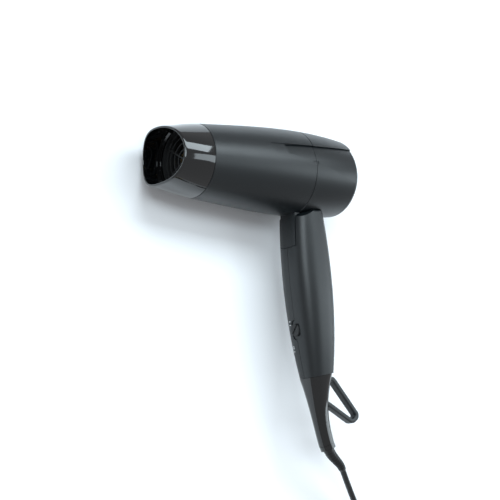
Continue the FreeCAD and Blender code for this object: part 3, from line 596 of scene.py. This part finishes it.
@dataclass
class SwitchMarks:
    """Printed switch positions on the grip: two bars above the knob, an open ring and a bar below it."""

    shop: Workshop
    side: float = -7.0
    knob_y: float = -131.0
    bars: tuple[float, ...] = (7.5, 4.6, -17.2)
    ring: float = -13.8
    ring_r: float = 1.25
    bar_size: tuple[float, float] = (2.6, 0.6)
    lift: float = 0.03
    # the grip: where it starts, how long it is and how far its end stands back, mm
    grip_top: float = -31.0
    grip_length: float = 136.0
    grip_top_x: float = 110.9
    grip_lean: float = 11.3
    # its half sizes at the top, where it is fullest and at the end, mm
    depths: tuple[float, float, float] = (15.5, 19.2, 13.6)
    widths: tuple[float, float, float] = (17.5, 18.5, 12.6)
    full_share: float = 0.42
    boxiness: float = 2.6

    def on_grip(self, y: float, z: float) -> Vector:
        """Find a place on the front of the grip, from the grip's own sizes.

        Args:
            y: height above the barrel's axis, mm.
            z: distance towards the near side, mm.

        Returns:
            The place, in metres.
        """
        share, full = (self.grip_top - y) / self.grip_length, self.full_share
        k = ((full - share) / full) ** 2 if share < full else ((share - full) / (1 - full)) ** 2
        (top_depth, mid_depth, end_depth), (top_width, mid_width, end_width) = self.depths, self.widths
        depth = mid_depth + ((top_depth if share < full else end_depth) - mid_depth) * k
        width = mid_width + ((top_width if share < full else end_width) - mid_width) * k
        bow = (1 - min(abs(z) / width, 1.0) ** self.boxiness) ** (1 / self.boxiness)
        x = self.grip_top_x + self.grip_lean * share - depth * bow
        return self.shop.axis_point() + Vector((x - self.lift, y, z)) * MM

    def build(self) -> None:
        """Print the marks as thin films of ink."""
        bm = bmesh.new()
        ring = bmesh.ops.create_circle(bm, cap_ends=False, segments=32, radius=self.ring_r)["verts"]
        rim = list({edge for vert in ring for edge in vert.link_edges})
        grown = bmesh.ops.extrude_edge_only(bm, edges=rim)["geom"]
        inner = [item for item in grown if isinstance(item, bmesh.types.BMVert)]
        bmesh.ops.scale(bm, verts=inner, vec=(0.62, 0.62, 1.0))
        bmesh.ops.translate(bm, verts=ring + inner, vec=(0.0, self.ring, 0.0))
        for along in self.bars:
            bar = bmesh.ops.create_grid(bm, x_segments=8, y_segments=1, size=0.5)["verts"]
            bmesh.ops.scale(bm, verts=bar, vec=(*self.bar_size, 1.0))
            bmesh.ops.translate(bm, verts=bar, vec=(0.0, along, 0.0))
        for vert in bm.verts:
            vert.co = self.on_grip(self.knob_y + vert.co.y, self.side + vert.co.x)
        self.shop.piece("switch_marks", bm, WHITE_INK, "handle", "shell_charcoal")


# ---- mains lead --------------------------------------------------------------------------


@dataclass
class MainsLead:
    """The lead from the guard's relief sleeve to the plug, with its tied coil."""

    shop: Workshop
    diameter: float = 5.0 * MM
    length: float = 1.80
    coil_radius: float = 27.5 * MM
    coil_turns: int = 9
    points_per_turn: int = 14
    # places from the barrel's axis at the nozzle seam
    route: tuple[tuple[float, float, float], ...] = (
        (0.1510, -0.2445, -0.0040),
        (0.1762, -0.2716, -0.0192),
        (0.2050, -0.2970, -0.03315),
        (0.2360, -0.3220, -0.03315),
        (0.2430, -0.3520, -0.03315),
    )

    def centre(self) -> Vector:
        """Find the middle of the coil's underside, from its CAD solid.

        Returns:
            The point, in metres.
        """
        low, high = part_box("cord_coil")
        return Vector(((low[0] + high[0]) / 2, (low[1] + high[1]) / 2, low[2]))

    def coil_points(self) -> list[Vector]:
        """Lay the coil's turns, three high and three across, clockwise from above.

        Returns:
            Control points, in metres.
        """
        middle, pitch = self.centre(), self.diameter
        last, before = Vector(self.route[-1]), Vector(self.route[-2])
        start = math.atan2(last.y - before.y, last.x - before.x) + math.pi / 2
        order = [(1, 0), (0, 0), (-1, 0), (-1, 1), (0, 1), (1, 1), (-1, 2), (0, 2), (1, 1.5)]
        points = []
        total = self.coil_turns * self.points_per_turn
        for i in range(1, total):
            turn = i / self.points_per_turn
            row, share = int(turn), turn - int(turn)
            ahead = order[min(row + 1, len(order) - 1)]
            here = order[row]
            ease = max(0.0, (share - 0.6) / 0.4)
            across = here[0] + (ahead[0] - here[0]) * ease
            up = here[1] + (ahead[1] - here[1]) * ease
            angle = start - 2 * math.pi * turn
            r = (self.coil_radius + across * pitch) / math.cos(math.pi / self.points_per_turn)
            points.append(middle + Vector((math.cos(angle) * r, math.sin(angle) * r, (up + 0.5) * pitch)))
        return points

    def build(self) -> bpy.types.Object:
        """Returns:
            The lead's object.
        """
        origin = self.shop.axis_point()
        points = [origin + Vector(p) for p in self.route] + self.coil_points()
        tail_low, tail_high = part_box("cord_tail")
        tail_y, tail_z = (tail_low[1] + tail_high[1]) / 2, (tail_low[2] + tail_high[2]) / 2
        points += [Vector((tail_low[0] + share * (tail_high[0] - tail_low[0]), tail_y, tail_z))
                   for share in (0.85, 0.45, 0.0)]
        curve = bpy.data.curves.new("mains_lead", "CURVE")
        curve.dimensions = "3D"
        curve.bevel_depth = self.diameter / 2
        curve.bevel_resolution = 4
        curve.resolution_u = 5
        curve.use_fill_caps = True
        spline = curve.splines.new("NURBS")
        spline.points.add(len(points) - 1)
        for target, place in zip(spline.points, points):
            target.co = (*place, 1.0)
        spline.order_u = 3
        spline.use_endpoint_u = True
        curve.materials.append(FLEX_PVC.build())
        lead = bpy.data.objects.new("mains_lead", curve)
        bpy.context.scene.collection.objects.link(lead)
        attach(lead, "handle")
        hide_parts("cord", "cord_coil", "cord_tail")
        return lead


# ---- studio ------------------------------------------------------------------------------


@dataclass
class Studio:
    """Pale floor, soft lights and the camera."""

    shop: Workshop
    lens_mm: float = 136.8
    # camera place from the barrel's axis at the nozzle seam, and the way it looks
    camera_from: tuple[float, float, float] = (-0.8996, -0.3106, 1.1887)
    camera_way: tuple[float, float, float] = (0.6186, 0.1572, -0.7698)
    camera_up: tuple[float, float, float] = (-0.0774, 0.9872, 0.1393)
    lamp_colour: str = "#e3f1f8"
    lamp_target: tuple[float, float, float] = (0.02, 0.03, 0.03)
    surround_colour: str = "#f2f4f7"
    surround_strength: float = 0.55

    def add_camera(self) -> None:
        """Place the camera."""
        data = bpy.data.cameras.new("camera")
        data.lens = self.lens_mm
        data.clip_end = 50.0
        eye = bpy.data.objects.new("camera", data)
        bpy.context.scene.collection.objects.link(eye)
        back = -Vector(self.camera_way).normalized()
        up = Vector(self.camera_up).normalized()
        right = up.cross(back).normalized()
        up = back.cross(right)
        turn = Matrix((right, up, back)).transposed().to_4x4()
        eye.matrix_world = Matrix.Translation(self.shop.axis_point() + Vector(self.camera_from)) @ turn
        bpy.context.scene.camera = eye

    def add_floor(self) -> None:
        """Lay the pale floor under the dryer."""
        bm = bmesh.new()
        bmesh.ops.create_grid(bm, x_segments=1, y_segments=1, size=6.0)
        mesh = bpy.data.meshes.new("floor")
        bm.to_mesh(mesh)
        bm.free()
        mesh.transform(Matrix.Translation((0, 0, -0.0003)))
        mesh.materials.append(FLOOR_CARD.build())
        floor = bpy.data.objects.new("floor", mesh)
        bpy.context.scene.collection.objects.link(floor)

    def add_light(
        self, name: str, place: tuple[float, float, float], size: tuple[float, float], power: float
    ) -> None:
        """Add one soft box aimed at the dryer.

        Args:
            name: the light's name.
            place: where it stands, in metres.
            size: width and height of its face.
            power: watts.
        """
        data = bpy.data.lights.new(name, "AREA")
        data.shape = "RECTANGLE"
        data.size, data.size_y = size
        data.energy = power
        data.color = linear(self.lamp_colour)[:3]
        lamp = bpy.data.objects.new(name, data)
        bpy.context.scene.collection.objects.link(lamp)
        aim = Vector(self.lamp_target) - Vector(place)
        lamp.matrix_world = Matrix.Translation(place) @ aim.to_track_quat("-Z", "Y").to_matrix().to_4x4()

    def light(self) -> None:
        """Hang the soft boxes and set the pale surround."""
        self.add_light("top box", (0.1, 0.9, 1.3), (2.0, 0.6), 26)
        self.add_light("near box", (1.3, 0.1, 1.0), (0.5, 1.6), 9)
        self.add_light("nozzle box", (-0.9, 0.3, 1.3), (0.35, 0.9), 9)
        world = bpy.data.worlds.new("surround")
        world.use_nodes = True
        background = world.node_tree.nodes["Background"]
        background.inputs["Color"].default_value = linear(self.surround_colour)
        background.inputs["Strength"].default_value = self.surround_strength
        bpy.context.scene.world = world
        bpy.context.scene.view_settings.view_transform = "Standard"


def main() -> None:
    """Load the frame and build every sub-assembly."""
    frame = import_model()
    shop = Workshop(frame)
    shop.dress_frame()
    studio = Studio(shop)
    studio.add_camera()
    studio.add_floor()
    studio.light()
    for part in (Nozzle(shop), HangingLoop(shop), ReliefSleeve(shop), SwitchMarks(shop), MainsLead(shop)):
        part.build()


if __name__ == "__main__":
    main()
